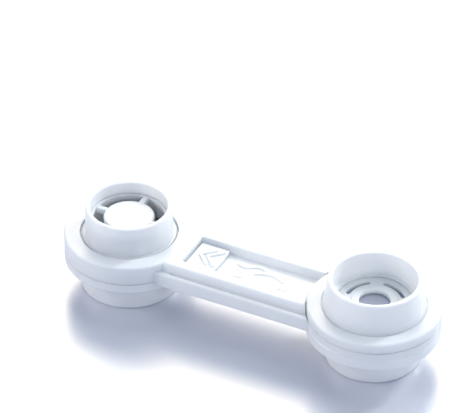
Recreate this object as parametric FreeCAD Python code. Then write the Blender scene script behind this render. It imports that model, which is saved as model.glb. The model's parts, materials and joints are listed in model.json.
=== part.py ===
import FreeCAD, Part
import math
import os
from FreeCAD import Vector

# Twin one-way valve link: a moulded bar with a round eye at each end, and a valve capsule in each eye.
# Origin at the bottom centre, midway between the capsules. +X runs from outlet to inlet, +Z is up. Millimetres.
# The inlet capsule is the outlet capsule turned upside down, so each capsule is drawn in its own frame:
# its seat rim at z = 0 and its cage rim at z = HEIGHT.

# Driving dimensions
HEIGHT = 25.6            # overall height of a capsule, rim to rim
CENTRE_DISTANCE = 75.0   # between the two capsule axes
FLANGE_R = 18.35         # collars and eyes
SPIGOT_H = 8.5           # how far a cup or spigot stands out of the flange
EYE_H = 5.75             # thickness of an eye
RUN_GAP = 0.07           # radial clearance of a capsule's neck in its eye
FACE_GAP = 0.10          # gap between a collar and its eye

# Levels in a capsule's own frame
COLLAR_LO = SPIGOT_H
COLLAR_HI = HEIGHT - SPIGOT_H - EYE_H
FLANGE_HI = HEIGHT - SPIGOT_H

# General
REACH = 1.0              # how far a cutting shape runs past the surface that it cuts
EDGE_ROUND = 0.2         # plain moulded edge
FLANGE_ROUND = 0.6       # outer edge of a flange's open face

# Cups and spigots
SEAT_BORE_R = 11.46      # inside of the cup on the seat side
CAGE_BORE_R = 10.8       # inside of the cup on the cage side
NECK_R = 13.2            # bearing surface that turns in the eye
CUP_RIM_R = 12.1         # outlet cup, outside at its rim
CUP_BASE_R = 12.35       # outlet cup, outside at its foot
INLET_RIM_R = 12.8       # inlet cup, outside at its rim
INLET_BASE_R = 14.0      # inlet cup, outside at its foot
OUTLET_SPIGOT_R = 13.95  # cylindrical land under the outlet
INLET_SPIGOT_R = 13.05   # cylindrical land under the inlet
BORE_ROUND = 0.4         # inner edge of a rim
RIM_ROUND = 0.6          # outer edge of a rim
SPIGOT_RIM_ROUND = 0.7   # the inlet spigot's rim is softer
SKIRT_GROOVE_W = 0.4     # moulded groove round the foot of a cup
SKIRT_GROOVE_D = 0.4
NECK_STEP = 0.4          # the neck ends this far below the eye's face

# Spigot seal, a twin-lipped ring
SEAL_GROOVE_D = 0.7
SEAL_H = 1.8
SEAL_PROUD = 0.2
SEAL_LO = 5.9            # height of the seal above the surface the link stands on
SEAL_PLAY = 0.02
SEAL_LIP_ROUND = 0.3
SEAL_VALLEY_D = 0.35     # valley between the two lips
SEAL_VALLEY_W = 0.2

# Retaining ring that holds a capsule in its eye
RING_LO = COLLAR_HI + 4.03
RING_T = 0.85
RING_IN_R = 12.65
RING_OUT_R = 13.65
RING_OPENING = 14.0      # degrees
RING_GROOVE_R = 12.6     # groove in the neck
RING_GROOVE_LO = COLLAR_HI + 4.01
RING_GROOVE_HI = COLLAR_HI + 4.91
RECESS_R = 13.75         # recess in the eye that hides the ring
RECESS_LO = COLLAR_HI + 4.0

# Plug joint between the two shells of a capsule
SLEEVE_R = 12.0
SOCKET_R = 12.03         # in the cage shell, round the sleeve
SLEEVE_HI = COLLAR_HI + 2.85
POCKET_R = 11.12         # inside of both shells round the chamber
SHOULDER_Z = SLEEVE_HI + 0.9
SNAP_Z = COLLAR_HI + 1.65
SNAP_BEAD = 0.25         # height of the snap bead
SNAP_CREST = 0.25        # half width of the bead at its crest and at its foot
SNAP_FOOT = 0.45
SNAP_PLAY = 0.05         # round the bead, in its groove
JOINT_SEAL_R = 0.42

# Seat plate
LEDGE_Z = 6.6
LEDGE_R = 10.25
LEDGE_ROUND = 1.1        # soft corner between a cup's wall and its ledge
PLATE_LO = 7.3
PLATE_HI = 8.3
PLATE_R = 11.08
SEAT_HOLE_R = 4.25
SEAT_HOLE_ROUND = 0.4
BOSS_R = 6.2             # low boss round the hole, on the face away from the washer
BOSS_H = 0.2
SLOT_R = 7.75
SLOT_W = 1.3
SLOT_SPAN = 54.0
SLOT_START = 25.0        # degrees from the bar's axis to the middle of the first slot
LIP_H = 0.2              # sealing lips that the washer rests on
LIP_W = 0.4
LIP_SPACE = 0.1          # from a slot's edge to the lip beside it

# Cage
CAGE_R = 11.08
CAGE_WALL_R = 10.2
CAGE_TOP = HEIGHT - 3.6
CAGE_DECK_LO = 20.2
CAGE_RING_R = 10.0
CAGE_DISC_R = 7.1
CAGE_DISC_PROUD = 0.1
CAGE_DISC_ROUND = 0.5
SPOKE_W = 1.6
SPOKE_ROUND = 0.3
SPOKES = 4
WINDOW_LO = 9.8          # windows between the cage's pillars
WINDOW_HI = 19.4
WINDOW_SPAN = 60.0       # degrees
HUB_R = 2.5
HUB_ROUND = 0.3
HUB_BORE_ROUND = 0.15

# Poppet, washer and spring
TRAVEL = 3.0
WASHER_R = 9.8
WASHER_LO = PLATE_HI + LIP_H + 0.02
WASHER_T = 1.0
POPPET_LO = WASHER_LO + WASHER_T
POPPET_R = 9.6
POPPET_T = 1.4
POPPET_HI = POPPET_LO + POPPET_T
POPPET_ROUND = 0.5
STEM_R = 1.5
STEM_GAP = 0.05
STEM_HI = 17.6
STEM_ROUND = 0.4
STUD_R = 2.0
STUD_H = 0.6
STUD_GAP = 0.02
HUB_LO = POPPET_HI + TRAVEL + 0.3
HUB_BORE_HI = STEM_HI + TRAVEL + 0.6
SPRING_R = 3.0
WIRE_R = 0.25
COILS = 6
SPRING_END_GAP = 0.01    # between the wire and what it bears on
CENTRING_R = 3.4         # inside of the ring on the poppet that centres the spring
CENTRING_W = 0.6
CENTRING_H = 0.5

# Bar
BAR_HALF = 12.0          # half width of the lower plate
BAR_LO = 10.8
BAR_SHOULDER_Z = 14.9
BAR_ROUND_LO = 0.3
BAR_ROUND_HI = 0.5
EYE_LO = COLLAR_HI + FACE_GAP
CROWN_FOOT = 10.6        # half width of the raised crown at its foot
CROWN_TOP = 9.5
CROWN_ROUND = 1.5
CROWN_ROOT_Z = 14.2      # the crown starts inside the plate
UNDERCUT = ((10.4, 14.4), (11.1, 15.2), (10.0, 15.2))   # V groove at the crown's foot, as (y, z)
POCKET_TOP = 6.1         # half width of the pocket at the crown's top and at its floor
POCKET_FLOOR = 5.4
POCKET_ROUND = 0.8       # upper inner edge of a rail
FLOOR_Z = 14.8
POCKET_START_X = -17.8
SEAM = 0.35              # seam between the bar and the collars
EYE_LINE_Z = 11.9        # fine line round the inlet eye
EYE_LINE_D = 0.15
EYE_LINE_HALF = 0.2
EYE_CUT_R = FLANGE_R - 1.5   # the bar is cut back to here before the eyes are joined to it
CORE_D = 1.6             # hollow under the bar
CORE_HALF_X = 15.5
CORE_HALF_Y = 9.5
CORE_RIBS = 3
RIB_T = 1.2
EJECTOR_R = 1.2          # shallow round marks in the hollow, two in each cell
EJECTOR_D = 0.15
EJECTOR_Y = 6.0
GATE_R = 0.9             # stub of the moulding gate
GATE_H = 0.4

# Marking tile and raised lines
TILE_X = (-17.3, -8.6)
TILE_HALF_Y = 5.3
TILE_HI = 16.0
TILE_ROUND = 0.25
RELIEF_H = 0.45          # height and width of every raised line
RELIEF_W = 0.8
RELIEF_ROOT = 0.2        # how deep a raised line starts inside the surface
CHEVRON_HALF = 3.4
CHEVRON_STEP = 2.2       # from the tile's end to the first chevron, and from one to the next
WAVES = (                # first bend (x, y), radius, number of bends, and the side that the first one bends to
    (-2.4, 2.4, 3.3, 2, -1),
    (5.9, -0.1, 6.7, 1, 1),
    (-2.7, -2.6, 2.0, 1, -1),
    (11.2, -3.2, 1.6, 1, 1),
)
WAVE_HALF_ANGLE = 40.0


def rounded_wire(points, plane):
    """A closed wire through (u, v) points; a third number rounds that corner with a tangent arc."""
    points = [p for i, p in enumerate(points) if p[:2] != points[i - 1][:2]]
    flat = [Vector(p[0], p[1], 0) for p in points]
    radii = [p[2] if len(p) > 2 else 0.0 for p in points]
    ends = []
    arcs = []
    for i, corner in enumerate(flat):
        before = (flat[i - 1] - corner).normalize()
        after = (flat[(i + 1) % len(flat)] - corner).normalize()
        if not radii[i]:
            ends.append((corner, corner))
            arcs.append(None)
            continue
        half = before.getAngle(after) / 2
        reach = radii[i] / math.tan(half)
        middle = (before + after).normalize() * (radii[i] / math.sin(half) - radii[i])
        ends.append((corner + before * reach, corner + after * reach))
        arcs.append(corner + middle)
    edges = []
    for i, (start, finish) in enumerate(ends):
        if arcs[i]:
            edges.append(Part.Arc(plane(start), plane(arcs[i]), plane(finish)).toShape())
        following = ends[(i + 1) % len(ends)][0]
        if (following - finish).Length > 1e-6:
            edges.append(Part.LineSegment(plane(finish), plane(following)).toShape())
    return Part.Wire(edges)


def turned(points):
    """A solid of revolution about Z from (radius, height) points."""
    face = Part.Face(rounded_wire(points, lambda p: Vector(p.x, 0, p.y)))
    return face.revolve(Vector(0, 0, 0), Vector(0, 0, 1), 360)


def along_x(points, x_lo, x_hi):
    """A straight prism along X from (y, z) points."""
    face = Part.Face(rounded_wire(points, lambda p: Vector(x_lo, p.x, p.y)))
    return face.extrude(Vector(x_hi - x_lo, 0, 0))


def block(x_lo, x_hi, y_lo, y_hi, z_lo, z_hi):
    return Part.makeBox(x_hi - x_lo, y_hi - y_lo, z_hi - z_lo, Vector(x_lo, y_lo, z_lo))


def tube(r_in, r_out, z_lo, z_hi):
    return turned([(r_in, z_lo), (r_out, z_lo), (r_out, z_hi), (r_in, z_hi)])


def sector(r_in, r_out, z_lo, z_hi, start, span):
    """Part of a ring, from the angle start and counterclockwise through span, in degrees."""
    outer = Part.makeCylinder(r_out, z_hi - z_lo, Vector(0, 0, z_lo), Vector(0, 0, 1), span)
    inner = Part.makeCylinder(r_in, z_hi - z_lo, Vector(0, 0, z_lo), Vector(0, 0, 1), 360)
    piece = outer.cut(inner)
    piece.rotate(Vector(0, 0, 0), Vector(0, 0, 1), start)
    return piece


def round_ended_arc(radius, width, z_lo, z_hi, start, span):
    """A ring sector with half-round ends: a curved slot, or a raised line."""
    piece = sector(radius - width / 2, radius + width / 2, z_lo, z_hi, start, span)
    for angle in (start, start + span):
        x = radius * math.cos(math.radians(angle))
        y = radius * math.sin(math.radians(angle))
        piece = piece.fuse(Part.makeCylinder(width / 2, z_hi - z_lo, Vector(x, y, z_lo)))
    return piece.removeSplitter()


def seal_groove(land_r, z_lo):
    return tube(land_r - SEAL_GROOVE_D, land_r + REACH, z_lo, z_lo + SEAL_H)


def seat_shell(rim_r, base_r, groove_z=None):
    """Collar with the cup or spigot on the seat side, and the sleeve that plugs into the other shell."""
    shell = turned([
        (SEAT_BORE_R, 0.0, BORE_ROUND),
        (rim_r, 0.0, RIM_ROUND),
        (base_r, COLLAR_LO + SKIRT_GROOVE_D),
        (base_r + SKIRT_GROOVE_W, COLLAR_LO + SKIRT_GROOVE_D),
        (base_r + SKIRT_GROOVE_W, COLLAR_LO, EDGE_ROUND),
        (FLANGE_R, COLLAR_LO, FLANGE_ROUND),
        (FLANGE_R, COLLAR_HI, EDGE_ROUND),
        (SLEEVE_R, COLLAR_HI),
        (SLEEVE_R, SNAP_Z - SNAP_FOOT),
        (SLEEVE_R + SNAP_BEAD, SNAP_Z - SNAP_CREST),
        (SLEEVE_R + SNAP_BEAD, SNAP_Z + SNAP_CREST),
        (SLEEVE_R, SNAP_Z + SNAP_FOOT),
        (SLEEVE_R, SLEEVE_HI),
        (POCKET_R, SLEEVE_HI),
        (POCKET_R, PLATE_LO),
        (LEDGE_R, PLATE_LO),
        (LEDGE_R, LEDGE_Z),
        (SEAT_BORE_R, LEDGE_Z, LEDGE_ROUND),
    ])
    if groove_z is not None:
        shell = shell.cut(seal_groove(rim_r, groove_z))
    return shell


def cage_shell(rim_r, base_r, rim_round, groove_z=None):
    """Neck that turns in the eye, with the cup or spigot on the cage side."""
    snap_r = SLEEVE_R + SNAP_BEAD + SNAP_PLAY
    snap_lo = SNAP_Z - SNAP_FOOT - SNAP_PLAY
    snap_hi = SNAP_Z + SNAP_FOOT + SNAP_PLAY
    shell = turned([
        (SOCKET_R, COLLAR_HI),
        (NECK_R, COLLAR_HI),
        (NECK_R, RING_GROOVE_LO),
        (RING_GROOVE_R, RING_GROOVE_LO),
        (RING_GROOVE_R, RING_GROOVE_HI),
        (NECK_R, RING_GROOVE_HI),
        (NECK_R, FLANGE_HI - NECK_STEP, EDGE_ROUND),
        (base_r, FLANGE_HI - NECK_STEP),
        (rim_r, HEIGHT, rim_round),
        (CAGE_BORE_R, HEIGHT, BORE_ROUND),
        (CAGE_BORE_R, CAGE_TOP),
        (POCKET_R, CAGE_TOP),
        (POCKET_R, SHOULDER_Z),
        (SOCKET_R, SHOULDER_Z),
        (SOCKET_R, snap_hi),
        (snap_r, snap_hi),
        (snap_r, snap_lo),
        (SOCKET_R, snap_lo),
    ])
    if groove_z is not None:
        shell = shell.cut(seal_groove(rim_r, groove_z))
    return shell


def seat_plate():
    """Plate with the main hole, four curved slots round it, and a raised lip on each side of the slots."""
    outer_lip = SLOT_R + SLOT_W / 2 + LIP_SPACE
    inner_lip = SLOT_R - SLOT_W / 2 - LIP_SPACE
    plate = turned([
        (SEAT_HOLE_R, PLATE_LO - BOSS_H, SEAT_HOLE_ROUND),
        (BOSS_R, PLATE_LO - BOSS_H, BOSS_H / 2),
        (BOSS_R, PLATE_LO),
        (PLATE_R, PLATE_LO),
        (PLATE_R, PLATE_HI),
        (outer_lip + LIP_W, PLATE_HI),
        (outer_lip + LIP_W, PLATE_HI + LIP_H),
        (outer_lip, PLATE_HI + LIP_H),
        (outer_lip, PLATE_HI),
        (inner_lip, PLATE_HI),
        (inner_lip, PLATE_HI + LIP_H),
        (inner_lip - LIP_W, PLATE_HI + LIP_H),
        (inner_lip - LIP_W, PLATE_HI),
        (SEAT_HOLE_R, PLATE_HI),
    ])
    for i in range(SPOKES):
        start = SLOT_START + 90.0 * i - SLOT_SPAN / 2
        plate = plate.cut(round_ended_arc(SLOT_R, SLOT_W, PLATE_LO - REACH, PLATE_HI + REACH, start, SLOT_SPAN))
    return plate


def cage():
    """Basket that stands on the seat plate: two rings joined by pillars, and a disc held by four spokes."""
    body = tube(CAGE_WALL_R, CAGE_R, PLATE_HI, CAGE_TOP)
    deck = turned([
        (CAGE_RING_R, CAGE_DECK_LO),
        (CAGE_R, CAGE_DECK_LO),
        (CAGE_R, CAGE_TOP),
        (CAGE_RING_R, CAGE_TOP, EDGE_ROUND),
    ])
    disc_top = CAGE_TOP + CAGE_DISC_PROUD
    hub_bore_r = STEM_R + STEM_GAP
    disc = turned([
        (0.0, HUB_BORE_HI),
        (hub_bore_r, HUB_BORE_HI),
        (hub_bore_r, HUB_LO, HUB_BORE_ROUND),
        (HUB_R, HUB_LO, HUB_ROUND),
        (HUB_R, CAGE_DECK_LO),
        (CAGE_DISC_R, CAGE_DECK_LO),
        (CAGE_DISC_R, disc_top, CAGE_DISC_ROUND),
        (0.0, disc_top),
    ])
    step = 360.0 / SPOKES
    for i in range(SPOKES):
        start = step * (i + 0.5) - WINDOW_SPAN / 2
        body = body.cut(sector(CAGE_WALL_R - REACH, CAGE_R + REACH, WINDOW_LO, WINDOW_HI, start, WINDOW_SPAN))
    body = body.fuse(deck)
    for i in range(SPOKES):
        spoke = along_x([
            (-SPOKE_W / 2, CAGE_DECK_LO),
            (SPOKE_W / 2, CAGE_DECK_LO),
            (SPOKE_W / 2, CAGE_TOP, SPOKE_ROUND),
            (-SPOKE_W / 2, CAGE_TOP, SPOKE_ROUND),
        ], CAGE_DISC_R - REACH, (CAGE_RING_R + CAGE_R) / 2)
        spoke.rotate(Vector(0, 0, 0), Vector(0, 0, 1), step * i)
        body = body.fuse(spoke)
    return body.fuse(disc).removeSplitter()


def poppet():
    """Disc with a guide stem, a stud that holds the washer and a low ring that centres the spring."""
    return turned([
        (0.0, POPPET_LO - STUD_H),
        (STUD_R, POPPET_LO - STUD_H),
        (STUD_R, POPPET_LO),
        (POPPET_R, POPPET_LO, EDGE_ROUND),
        (POPPET_R, POPPET_HI, POPPET_ROUND),
        (CENTRING_R + CENTRING_W, POPPET_HI),
        (CENTRING_R + CENTRING_W, POPPET_HI + CENTRING_H, EDGE_ROUND),
        (CENTRING_R, POPPET_HI + CENTRING_H, EDGE_ROUND),
        (CENTRING_R, POPPET_HI),
        (STEM_R, POPPET_HI),
        (STEM_R, STEM_HI, STEM_ROUND),
        (0.0, STEM_HI),
    ])


def poppet_washer():
    hole_r = STUD_R + STUD_GAP
    hole_lo = POPPET_LO - STUD_H - STUD_GAP
    return turned([
        (0.0, WASHER_LO),
        (WASHER_R, WASHER_LO, EDGE_ROUND),
        (WASHER_R, POPPET_LO, EDGE_ROUND),
        (hole_r, POPPET_LO),
        (hole_r, hole_lo),
        (0.0, hole_lo),
    ])


def poppet_spring():
    """Coil spring round the hub, from the poppet to the cage: half turns, each a half torus that leans."""
    lo = POPPET_HI + SPRING_END_GAP + WIRE_R
    hi = CAGE_DECK_LO - SPRING_END_GAP - WIRE_R
    rise = (hi - lo) / (2 * COILS)
    spring = None
    for i in range(2 * COILS):
        side = 1 if i % 2 == 0 else -1
        start = Vector(side * SPRING_R, 0, lo + rise * i)
        axis = Vector(side * rise, 0, 2 * SPRING_R).normalize()
        section = Part.Face(Part.Wire(Part.makeCircle(WIRE_R, start, Vector(0, 1, 0))))
        half_turn = section.revolve(Vector(0, 0, lo + rise * (i + 0.5)), axis, 180)
        spring = half_turn if spring is None else spring.fuse(half_turn)
    return spring


def joint_seal():
    middle = (POCKET_R + SOCKET_R) / 2
    return Part.makeTorus(middle, JOINT_SEAL_R, Vector(0, 0, (SLEEVE_HI + SHOULDER_Z) / 2))


def spigot_seal(land_r, z_lo):
    """Ring with two rounded lips, in the groove of a spigot."""
    lo = z_lo + SEAL_PLAY
    hi = z_lo + SEAL_H - SEAL_PLAY
    middle = (lo + hi) / 2
    out = land_r + SEAL_PROUD
    root = land_r - SEAL_GROOVE_D + SEAL_PLAY
    return turned([
        (root, lo),
        (out, lo, SEAL_LIP_ROUND),
        (out, middle - SEAL_VALLEY_W / 2, EDGE_ROUND),
        (out - SEAL_VALLEY_D, middle - SEAL_VALLEY_W / 2),
        (out - SEAL_VALLEY_D, middle + SEAL_VALLEY_W / 2),
        (out, middle + SEAL_VALLEY_W / 2, EDGE_ROUND),
        (out, hi, SEAL_LIP_ROUND),
        (root, hi),
    ])


def retaining_ring():
    """Split ring in the neck's groove, over the web of the eye."""
    ring = tube(RING_IN_R, RING_OUT_R, RING_LO, RING_LO + RING_T)
    lo = RING_LO - REACH
    hi = RING_LO + RING_T + REACH
    return ring.cut(sector(RING_IN_R - REACH, RING_OUT_R + REACH, lo, hi, 90 - RING_OPENING / 2, RING_OPENING))


def eye():
    """An end of the bar, in a capsule's own frame."""
    return turned([
        (NECK_R + RUN_GAP, EYE_LO),
        (FLANGE_R, EYE_LO, EDGE_ROUND),
        (FLANGE_R, FLANGE_HI, FLANGE_ROUND),
        (RECESS_R, FLANGE_HI, EDGE_ROUND),
        (RECESS_R, RECESS_LO),
        (NECK_R + RUN_GAP, RECESS_LO),
    ])


def place(shape, x, flipped):
    """Moves a shape from a capsule's own frame to its place; a flipped one is turned over about X."""
    placed = shape.copy()
    if flipped:
        placed.rotate(Vector(0, 0, HEIGHT / 2), Vector(1, 0, 0), 180)
    placed.translate(Vector(x, 0, 0))
    return placed


def wave(x, y, radius, bends, direction):
    """A raised wavy line on the pocket floor: arcs that bend to one side and then to the other."""
    line = None
    half = math.radians(WAVE_HALF_ANGLE)
    for i in range(bends):
        up = direction if i % 2 == 0 else -direction
        start = 180 - up * 90 - WAVE_HALF_ANGLE
        lo = FLOOR_Z - RELIEF_ROOT
        arc = round_ended_arc(radius, RELIEF_W, lo, FLOOR_Z + RELIEF_H, start, 2 * WAVE_HALF_ANGLE)
        arc.translate(Vector(x + 2 * radius * math.sin(half) * i, y - up * radius * math.cos(half), 0))
        line = arc if line is None else line.fuse(arc)
    return line


def chevron(x):
    """A raised V on the tile that points to -X, made of two bars with round ends."""
    z_lo = TILE_HI - RELIEF_ROOT
    height = RELIEF_ROOT + RELIEF_H
    length = CHEVRON_HALF * math.sqrt(2)
    shape = None
    for side in (-1, 1):
        bar = Part.makeBox(length, RELIEF_W, height, Vector(0, -RELIEF_W / 2, z_lo))
        for end in (0, length):
            bar = bar.fuse(Part.makeCylinder(RELIEF_W / 2, height, Vector(end, 0, z_lo)))
        bar.rotate(Vector(0, 0, 0), Vector(0, 0, 1), 45 * side)
        bar.translate(Vector(x, 0, 0))
        shape = bar if shape is None else shape.fuse(bar)
    return shape


def bar_hollow():
    """What is cut out under the bar: cells between ribs, with ejector marks in their roofs."""
    roof = BAR_LO + CORE_D
    lo = BAR_LO - REACH
    cells = CORE_RIBS + 1
    pitch = 2 * CORE_HALF_X / cells
    hollow = block(-CORE_HALF_X, CORE_HALF_X, -CORE_HALF_Y, CORE_HALF_Y, lo, roof)
    for i in range(CORE_RIBS):
        x = pitch * (i + 1) - CORE_HALF_X
        hollow = hollow.cut(block(x - RIB_T / 2, x + RIB_T / 2, -CORE_HALF_Y, CORE_HALF_Y, lo, roof))
    for i in range(cells):
        for y in (-EJECTOR_Y, EJECTOR_Y):
            middle = Vector(pitch * (i + 0.5) - CORE_HALF_X, y, roof)
            hollow = hollow.fuse(Part.makeCylinder(EJECTOR_R, EJECTOR_D, middle))
    gate = Part.makeCylinder(GATE_R, GATE_H, Vector(pitch * 1.5 - CORE_HALF_X, 0, roof - GATE_H))
    return hollow.cut(gate)


def bar_blank():
    """Plate and raised crown, from one capsule's axis to the other."""
    end = CENTRE_DISTANCE / 2
    plate = along_x([
        (-BAR_HALF, BAR_LO, BAR_ROUND_LO),
        (BAR_HALF, BAR_LO, BAR_ROUND_LO),
        (BAR_HALF, BAR_SHOULDER_Z, BAR_ROUND_HI),
        (-BAR_HALF, BAR_SHOULDER_Z, BAR_ROUND_HI),
    ], -end, end)
    crown = along_x([
        (-CROWN_FOOT, CROWN_ROOT_Z),
        (CROWN_FOOT, CROWN_ROOT_Z),
        (CROWN_TOP, FLANGE_HI, CROWN_ROUND),
        (-CROWN_TOP, FLANGE_HI, CROWN_ROUND),
    ], -end, end)
    return plate.fuse(crown)


def link_bar():
    """Bar with both eyes. The crown's pocket opens towards the inlet collar, and the plate is hollow below."""
    end = CENTRE_DISTANCE / 2
    bar = bar_blank()
    pocket = along_x([
        (-POCKET_FLOOR, FLOOR_Z),
        (POCKET_FLOOR, FLOOR_Z),
        (POCKET_TOP, FLANGE_HI, POCKET_ROUND),
        (CROWN_TOP, FLANGE_HI),
        (CROWN_TOP, FLANGE_HI + REACH),
        (-CROWN_TOP, FLANGE_HI + REACH),
        (-CROWN_TOP, FLANGE_HI),
        (-POCKET_TOP, FLANGE_HI, POCKET_ROUND),
    ], POCKET_START_X, end)
    cutters = [pocket, bar_hollow()]
    for side in (-1, 1):
        cutters.append(along_x([(side * y, z) for y, z in UNDERCUT], FLANGE_R - end, end))
        cutters.append(Part.makeCylinder(EYE_CUT_R, HEIGHT, Vector(side * end, 0, 0)))
    cutters.append(Part.makeCylinder(FLANGE_R + SEAM, EYE_LO, Vector(-end, 0, 0)))
    cutters.append(Part.makeCylinder(FLANGE_R + SEAM, EYE_LO, Vector(end, 0, HEIGHT - EYE_LO)))
    for cutter in cutters:
        bar = bar.cut(cutter)
    line = turned([
        (FLANGE_R - EYE_LINE_D, EYE_LINE_Z),
        (FLANGE_R + REACH, EYE_LINE_Z - EYE_LINE_HALF * (1 + REACH / EYE_LINE_D)),
        (FLANGE_R + REACH, EYE_LINE_Z + EYE_LINE_HALF * (1 + REACH / EYE_LINE_D)),
    ])
    line.translate(Vector(end, 0, 0))
    bar = bar.fuse(place(eye(), -end, False)).fuse(place(eye(), end, True).cut(line))
    for x, y, radius, bends, direction in WAVES:
        bar = bar.fuse(wave(x, y, radius, bends, direction))
    return bar.removeSplitter()


def marking_tile():
    """Small raised tile in the outlet end of the pocket, with a frame and two chevrons."""
    x_lo, x_hi = TILE_X
    tile = block(x_lo, x_hi, -TILE_HALF_Y, TILE_HALF_Y, FLOOR_Z, TILE_HI)
    tile = tile.makeFillet(TILE_ROUND, [e for e in tile.Edges if e.BoundBox.ZMin > TILE_HI - TILE_ROUND])
    for i in (1, 2):
        tile = tile.fuse(chevron(x_lo + CHEVRON_STEP * i))
    return tile.removeSplitter()


def capsule(x, flipped):
    """The nodes of one capsule, without its name in front."""
    if flipped:
        seal_z = HEIGHT - SEAL_LO - SEAL_H
        land_r = INLET_SPIGOT_R
        seat = seat_shell(INLET_RIM_R, INLET_BASE_R)
        cup = cage_shell(land_r, land_r, SPIGOT_RIM_ROUND, seal_z)
    else:
        seal_z = SEAL_LO
        land_r = OUTLET_SPIGOT_R
        seat = seat_shell(land_r, land_r, seal_z)
        cup = cage_shell(CUP_RIM_R, CUP_BASE_R, RIM_ROUND)
    shapes = {
        "seat_shell": seat,
        "cage_shell": cup,
        "seat_plate": seat_plate(),
        "cage": cage(),
        "poppet": poppet(),
        "poppet_washer": poppet_washer(),
        "poppet_spring": poppet_spring(),
        "joint_seal": joint_seal(),
        "spigot_seal": spigot_seal(land_r, seal_z),
        "retaining_ring": retaining_ring(),
    }
    return {name: place(shape, x, flipped) for name, shape in shapes.items()}


def main():
    os.makedirs("parts", exist_ok=True)
    nodes = {"link_bar": link_bar(), "marking_tile": marking_tile()}
    for side, x, flipped in (("outlet", -CENTRE_DISTANCE / 2, False), ("inlet", CENTRE_DISTANCE / 2, True)):
        for name, shape in capsule(x, flipped).items():
            nodes[side + "_" + name] = shape
    for name, shape in nodes.items():
        if not shape.isValid() or len(shape.Solids) != 1:
            print("check", name, shape.isValid(), len(shape.Solids))
        shape.exportStep("parts/" + name + ".step")


main()
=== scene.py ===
import json
import math

import bmesh
import bpy
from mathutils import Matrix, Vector


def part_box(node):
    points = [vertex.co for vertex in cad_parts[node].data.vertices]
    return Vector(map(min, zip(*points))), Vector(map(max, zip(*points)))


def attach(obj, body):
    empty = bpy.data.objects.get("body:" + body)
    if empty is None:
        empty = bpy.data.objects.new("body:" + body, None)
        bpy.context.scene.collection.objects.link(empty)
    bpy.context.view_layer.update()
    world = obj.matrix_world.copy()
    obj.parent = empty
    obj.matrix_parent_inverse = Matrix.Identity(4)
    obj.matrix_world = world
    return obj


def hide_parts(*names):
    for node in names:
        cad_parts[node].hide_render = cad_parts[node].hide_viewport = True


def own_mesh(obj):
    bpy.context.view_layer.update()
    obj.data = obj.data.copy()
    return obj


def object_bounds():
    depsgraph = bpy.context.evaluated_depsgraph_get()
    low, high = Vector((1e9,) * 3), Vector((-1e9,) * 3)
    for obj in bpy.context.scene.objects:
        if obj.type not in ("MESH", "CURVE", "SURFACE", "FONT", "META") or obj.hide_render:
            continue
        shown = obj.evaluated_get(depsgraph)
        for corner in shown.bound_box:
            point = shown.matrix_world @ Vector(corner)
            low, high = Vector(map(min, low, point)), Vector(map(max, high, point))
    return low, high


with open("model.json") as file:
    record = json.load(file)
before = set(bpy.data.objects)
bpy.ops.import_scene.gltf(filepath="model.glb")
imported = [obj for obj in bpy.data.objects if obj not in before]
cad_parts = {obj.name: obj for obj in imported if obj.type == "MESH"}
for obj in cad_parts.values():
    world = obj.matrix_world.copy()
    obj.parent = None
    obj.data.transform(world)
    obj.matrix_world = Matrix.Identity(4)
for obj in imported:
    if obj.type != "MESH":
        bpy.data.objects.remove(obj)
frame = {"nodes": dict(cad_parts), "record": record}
CAD_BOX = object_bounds()

HEIGHT = CAD_BOX[1].z
SIDES = ("outlet", "inlet")
WHITE = (0.79, 0.81, 0.825)

# Springs, in metres
WIRE_R = 0.00025
SPRING_TURNS = 7.5
CLOSED_TURNS = 1.0
GROUND = 0.6             # how much of the wire's radius is left where an end is ground flat
STEPS_PER_TURN = 56
WIRE_SIDES = 14

# Camera: a long lens, seen from in front, from the inlet side and above
VIEW_AZIMUTH = math.radians(26.87)
VIEW_ELEVATION = math.radians(35.36)
VIEW_DISTANCE = 0.76016
VIEW_TARGET = Vector((-0.01172, 0.01214, HEIGHT))
LENS = 213.59            # in millimetres, on a sensor SENSOR wide
SENSOR = 36.0
NEAREST = 0.05           # clipping distances of the camera
FURTHEST = 20.0

# Table and lamps, in metres
FLOOR_HALF = 3.0
FLOOR_COLOUR = (0.58, 0.60, 0.68)
SKY_COLOUR = (0.48, 0.66, 1.0)
SKY_STRENGTH = 0.45
LAMP_DISTANCE = 1.6
LAMPS = (                # name, azimuth and elevation in degrees, diameter, power in watts, colour
    ("back", -27, 38, 1.0, 12.5, (1.0, 0.90, 0.72)),
    ("back_high", -27, 65, 0.8, 2.4, (0.9, 1.0, 0.95)),
    ("back_low", 27, 31, 0.3, 16.0, (0.96, 0.98, 1.0)),
    ("side_right", 63, 50, 0.9, 4.6, (1.0, 0.98, 0.78)),
    ("side_left", -117, 25, 0.7, 12.6, (1.0, 0.93, 0.84)),
    ("front", 130, 25, 0.9, 7.0, (1.0, 0.96, 0.94)),
)


def view_back():
    """Unit vector from the object towards the camera."""
    flat = math.cos(VIEW_ELEVATION)
    return Vector((math.sin(VIEW_AZIMUTH) * flat, -math.cos(VIEW_AZIMUTH) * flat, math.sin(VIEW_ELEVATION)))


def aim(obj, target):
    obj.rotation_mode = "QUATERNION"
    obj.rotation_quaternion = (target - obj.location).to_track_quat("-Z", "Y")


def add_camera():
    camera = bpy.data.objects.new("camera", bpy.data.cameras.new("camera"))
    bpy.context.scene.collection.objects.link(camera)
    camera.data.lens = LENS
    camera.data.sensor_width = SENSOR
    camera.data.clip_start = NEAREST
    camera.data.clip_end = FURTHEST
    camera.location = VIEW_TARGET + view_back() * VIEW_DISTANCE
    aim(camera, VIEW_TARGET)
    bpy.context.scene.camera = camera


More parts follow.
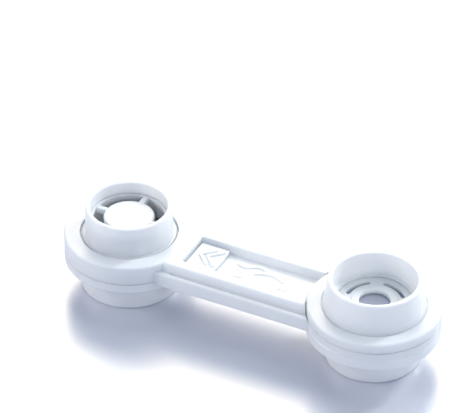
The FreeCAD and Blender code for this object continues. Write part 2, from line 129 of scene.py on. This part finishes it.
def add_lamp(name, azimuth, elevation, size, power, colour):
    """A round lamp aimed at the object; azimuth 0 is behind the object, along +Y, and 90 is along +X."""
    lamp = bpy.data.objects.new(name, bpy.data.lights.new(name, "AREA"))
    bpy.context.scene.collection.objects.link(lamp)
    lamp.data.shape = "DISK"
    lamp.data.size = size
    lamp.data.energy = power
    lamp.data.color = colour
    a, e = math.radians(azimuth), math.radians(elevation)
    flat = math.cos(e)
    lamp.location = Vector((math.sin(a) * flat, math.cos(a) * flat, math.sin(e))) * LAMP_DISTANCE
    aim(lamp, Vector((0, 0, HEIGHT / 2)))


def nodes_of(material):
    material.use_nodes = True
    tree = material.node_tree
    return tree, tree.nodes["Principled BSDF"]


def add_floor():
    mesh = bpy.data.meshes.new("floor")
    shape = bmesh.new()
    bmesh.ops.create_grid(shape, x_segments=8, y_segments=8, size=FLOOR_HALF)
    shape.to_mesh(mesh)
    shape.free()
    floor = bpy.data.objects.new("floor", mesh)
    bpy.context.scene.collection.objects.link(floor)
    material = bpy.data.materials.new("floor")
    tree, shader = nodes_of(material)
    shader.inputs["Base Color"].default_value = (*FLOOR_COLOUR, 1)
    shader.inputs["Roughness"].default_value = 0.30
    shader.inputs["IOR"].default_value = 1.9
    shader.inputs["Specular IOR Level"].default_value = 1.0
    mesh.materials.append(material)


def add_light():
    world = bpy.data.worlds.new("world")
    bpy.context.scene.world = world
    world.use_nodes = True
    background = world.node_tree.nodes["Background"]
    background.inputs["Color"].default_value = (*SKY_COLOUR, 1)
    background.inputs["Strength"].default_value = SKY_STRENGTH
    for lamp in LAMPS:
        add_lamp(*lamp)
    bpy.context.scene.view_settings.view_transform = "Standard"


class Finish:
    """A material whose colour, gloss and relief come from procedural textures in the part's own space."""

    def __init__(self, name, centre_x=0.0):
        self.material = bpy.data.materials.new(name)
        self.tree, self.shader = nodes_of(self.material)
        self.place = self.tree.nodes.new("ShaderNodeMapping")
        self.place.inputs["Location"].default_value = (-centre_x, 0, 0)
        coordinates = self.tree.nodes.new("ShaderNodeTexCoord")
        self.link(coordinates.outputs["Object"], self.place.inputs["Vector"])
        self.normal = None

    def link(self, output, socket):
        self.tree.links.new(output, socket)

    def noise(self, scale, detail=2.0):
        """A noise texture; scale is in features per metre."""
        noise = self.tree.nodes.new("ShaderNodeTexNoise")
        noise.inputs["Scale"].default_value = scale
        noise.inputs["Detail"].default_value = detail
        self.link(self.place.outputs["Vector"], noise.inputs["Vector"])
        return noise.outputs["Fac"]

    def rings(self, per_metre):
        """Concentric lines about the part's vertical axis, as a turned mould leaves them."""
        wave = self.tree.nodes.new("ShaderNodeTexWave")
        wave.wave_type = "RINGS"
        wave.rings_direction = "Z"
        wave.inputs["Scale"].default_value = per_metre
        wave.inputs["Distortion"].default_value = 0.4
        self.link(self.place.outputs["Vector"], wave.inputs["Vector"])
        return wave.outputs["Fac"]

    def colour(self, factor, dark, light):
        ramp = self.tree.nodes.new("ShaderNodeValToRGB")
        ramp.color_ramp.elements[0].position = 0.3
        ramp.color_ramp.elements[1].position = 0.7
        ramp.color_ramp.elements[0].color = (*dark, 1)
        ramp.color_ramp.elements[1].color = (*light, 1)
        self.link(factor, ramp.inputs["Fac"])
        self.link(ramp.outputs["Color"], self.shader.inputs["Base Color"])

    def gloss(self, factor, smooth, rough):
        spread = self.tree.nodes.new("ShaderNodeMapRange")
        spread.inputs["From Min"].default_value = 0.3
        spread.inputs["From Max"].default_value = 0.7
        spread.inputs["To Min"].default_value = smooth
        spread.inputs["To Max"].default_value = rough
        self.link(factor, spread.inputs["Value"])
        self.link(spread.outputs["Result"], self.shader.inputs["Roughness"])

    def relief(self, factor, height, strength=1.0):
        """Adds a bump of that height in metres on top of the ones before it."""
        bump = self.tree.nodes.new("ShaderNodeBump")
        bump.inputs["Strength"].default_value = strength
        bump.inputs["Distance"].default_value = height
        self.link(factor, bump.inputs["Height"])
        if self.normal:
            self.link(self.normal, bump.inputs["Normal"])
        self.normal = bump.outputs["Normal"]
        self.link(self.normal, self.shader.inputs["Normal"])

    def set(self, **values):
        for name, value in values.items():
            self.shader.inputs[name.replace("_", " ")].default_value = value


def plastic(name, colour, roughness, centre_x=None):
    """White moulded plastic: faint flow mottle, fine grain, and on round parts the mould's turning lines."""
    finish = Finish(name, centre_x or 0.0)
    flow = finish.noise(70.0, 4.0)
    finish.colour(flow, [c * 0.965 for c in colour], colour)
    finish.gloss(finish.noise(240.0, 3.0), roughness - 0.05, roughness + 0.08)
    finish.relief(finish.noise(55.0), 0.00004, 0.5)
    finish.relief(finish.noise(2600.0, 3.0), 0.000006, 0.35)
    if centre_x is not None:
        finish.relief(finish.rings(260.0), 0.000003, 0.35)
    finish.set(IOR=1.49, Subsurface_Weight=0.5, Subsurface_Scale=0.003)
    finish.set(Subsurface_Radius=(1.0, 0.97, 0.95))
    return finish.material


def rubber(name, colour, roughness, centre_x):
    """Silicone or rubber: matt, soft sheen, a fine moulded skin and faint lines round the ring."""
    finish = Finish(name, centre_x)
    finish.colour(finish.noise(420.0, 4.0), [c * 0.9 for c in colour], colour)
    finish.gloss(finish.noise(900.0, 2.0), roughness - 0.06, roughness + 0.1)
    finish.relief(finish.noise(5200.0, 4.0), 0.00001, 0.5)
    finish.relief(finish.rings(420.0), 0.000004, 0.4)
    finish.set(IOR=1.42, Sheen_Weight=0.15, Sheen_Roughness=0.5)
    finish.set(Subsurface_Weight=0.2, Subsurface_Scale=0.0008)
    return finish.material


def drawn_wire(name):
    """Drawn spring steel: bright metal with fine streaks and small changes of gloss."""
    finish = Finish(name)
    streaks = finish.noise(3200.0, 5.0)
    finish.colour(streaks, (0.50, 0.51, 0.53), (0.70, 0.71, 0.73))
    finish.gloss(finish.noise(1500.0, 3.0), 0.2, 0.36)
    finish.relief(streaks, 0.000003, 0.4)
    finish.set(Metallic=1.0)
    return finish.material


def finishes(centre_x):
    """The materials by slot name, for the pieces round one axis, or for the bar if centre_x is None."""
    end = "_bar" if centre_x is None else ("_outlet" if centre_x < 0 else "_inlet")
    made = {
        "white_shell": plastic("white_shell" + end, WHITE, 0.33, centre_x),
        "white_insert": plastic("white_insert" + end, WHITE, 0.4, centre_x),
    }
    if centre_x is None:
        return made
    made.update({
        "poppet_plastic": plastic("poppet_plastic" + end, (0.84, 0.86, 0.89), 0.42, centre_x),
        "ring_plastic": plastic("ring_plastic" + end, (0.80, 0.82, 0.85), 0.45, centre_x),
        # Painted shade: the silicone washer is coloured dark grey-lavender so that, seen through the seat's
        # centre hole and slots, it stands in for the shadow down there; the part is real, its darkness is
        # partly painted shade.
        "washer_silicone": rubber("washer_silicone" + end, (0.44, 0.46, 0.56), 0.55, centre_x),
        "seal_rubber": rubber("seal_rubber" + end, (0.06, 0.062, 0.07), 0.6, centre_x),
        "seal_silicone": rubber("seal_silicone" + end, (0.76, 0.79, 0.83), 0.5, centre_x),
        "spring_steel": drawn_wire("spring_steel" + end),
    })
    return made


def dress_nodes():
    """Gives every CAD node the material of its slot, and returns the two capsules' materials."""
    sets = {"": finishes(None)}
    for side in SIDES:
        low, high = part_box(side + "_seat_shell")
        sets[side] = finishes((low.x + high.x) / 2)
    for part in frame["record"]["subparts"]:
        side = part["node"].split("_")[0]
        node = frame["nodes"][part["node"]]
        node.data.materials.clear()
        node.data.materials.append(sets[side if side in SIDES else ""][part["material_slot"]])
    return sets


def spring_height(turn, turns, pitch_share):
    """How far up the spring its wire is after some turns, from 0 to 1; the end turns lie closed."""
    if turn < CLOSED_TURNS:
        return pitch_share * turn
    if turn > turns - CLOSED_TURNS:
        return 1 - pitch_share * (turns - turn)
    closed_share = pitch_share * CLOSED_TURNS
    open_turns = turns - 2 * CLOSED_TURNS
    return closed_share + (1 - 2 * closed_share) * (turn - CLOSED_TURNS) / open_turns


def add_spring(side, material):
    """A wound spring with ground ends, in place of the plain coil."""
    node = side + "_poppet_spring"
    low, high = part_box(node)
    centre = (low + high) / 2
    coil_r = (high.x - low.x) / 2 - WIRE_R
    length = high.z - low.z
    middle_length = length - 2 * WIRE_R * GROUND
    steps = int(SPRING_TURNS * STEPS_PER_TURN)
    shape = bmesh.new()
    rings = []
    for i in range(steps + 1):
        turn = SPRING_TURNS * i / steps
        angle = 2 * math.pi * turn
        share = spring_height(turn, SPRING_TURNS, 2 * WIRE_R / middle_length)
        z = low.z + WIRE_R * GROUND + middle_length * share
        out = Vector((math.cos(angle), math.sin(angle), 0))
        ring = []
        for k in range(WIRE_SIDES):
            around = 2 * math.pi * k / WIRE_SIDES
            point = Vector((centre.x, centre.y, z)) + out * (coil_r + WIRE_R * math.cos(around))
            point.z = min(max(point.z + WIRE_R * math.sin(around), low.z), high.z)
            ring.append(shape.verts.new(point))
        rings.append(ring)
    for before, after in zip(rings, rings[1:]):
        for k in range(WIRE_SIDES):
            n = (k + 1) % WIRE_SIDES
            shape.faces.new((before[k], before[n], after[n], after[k]))
    shape.faces.new(reversed(rings[0]))
    shape.faces.new(rings[-1])
    bmesh.ops.recalc_face_normals(shape, faces=shape.faces)
    mesh = bpy.data.meshes.new(side + "_wound_spring")
    shape.to_mesh(mesh)
    shape.free()
    mesh.polygons.foreach_set("use_smooth", [True] * len(mesh.polygons))
    mesh.materials.append(material)
    spring = bpy.data.objects.new(side + "_wound_spring", mesh)
    bpy.context.scene.collection.objects.link(spring)
    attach(spring, side + "_capsule")
    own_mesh(spring)
    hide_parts(node)


add_camera()
add_floor()
add_light()
MATERIALS = dress_nodes()
for side in SIDES:
    add_spring(side, MATERIALS[side]["spring_steel"])
